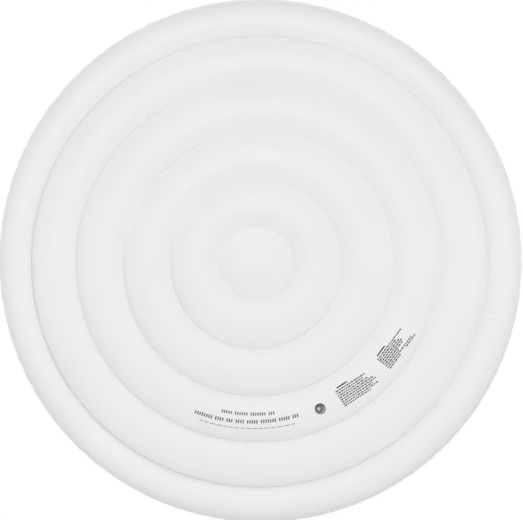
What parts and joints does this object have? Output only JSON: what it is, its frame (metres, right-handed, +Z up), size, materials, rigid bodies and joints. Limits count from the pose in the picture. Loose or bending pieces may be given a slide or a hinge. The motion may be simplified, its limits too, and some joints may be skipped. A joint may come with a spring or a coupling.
{
  "type": "inflatable spa cover bladder",
  "caption": "Round inflatable bladder for a spa cover: white PVC film blown up in concentric ring chambers, with a push-in stem valve.",
  "frame": {"origin": "on the floor under the middle of the blown-up disc", "axes": "+Z up through the disc, valve side up; the valve lies 66 degrees clockwise from +X seen from above, on the -Y side"},
  "size_m": [1.4508, 1.4508, 0.1054],
  "materials": {
    "white_film": "satin PVC film",
    "baffle_film": "plain PVC film",
    "valve_pvc": "soft translucent PVC"
  },
  "bodies": {
    "root": {"top_sheet": "white_film", "bottom_sheet": "white_film", "baffle_ring_1": "baffle_film", "baffle_ring_2": "baffle_film", "baffle_ring_3": "baffle_film", "baffle_ring_4": "baffle_film", "baffle_ring_5": "baffle_film", "valve_flange": "valve_pvc", "valve_web": "valve_pvc"},
    "stem": {"valve_stem": "valve_pvc", "cap_strap": "valve_pvc"},
    "cap": {"valve_cap": "valve_pvc"},
    "flap": {"valve_flap": "valve_pvc"}
  },
  "joints": [
    {"name": "valve_pop", "type": "slide", "parent": "root", "child": "stem", "axis": [0, 0, 1], "range_m": [0, 0.026], "deforming": ["valve_web"]},
    {"name": "cap_flip", "type": "hinge", "parent": "stem", "child": "cap", "pos_m": [0.17751, -0.3838, 0.10365], "axis": [-0.866, 0.5, 0], "range_deg": [0, 140], "deforming": ["cap_strap"]},
    {"name": "flap_swing", "type": "hinge", "parent": "stem", "child": "flap", "pos_m": [0.16851, -0.39939, 0.08685], "axis": [-0.866, 0.5, 0], "range_deg": [0, 60], "stiffness_Nm_per_rad": 0.001}
  ]
}
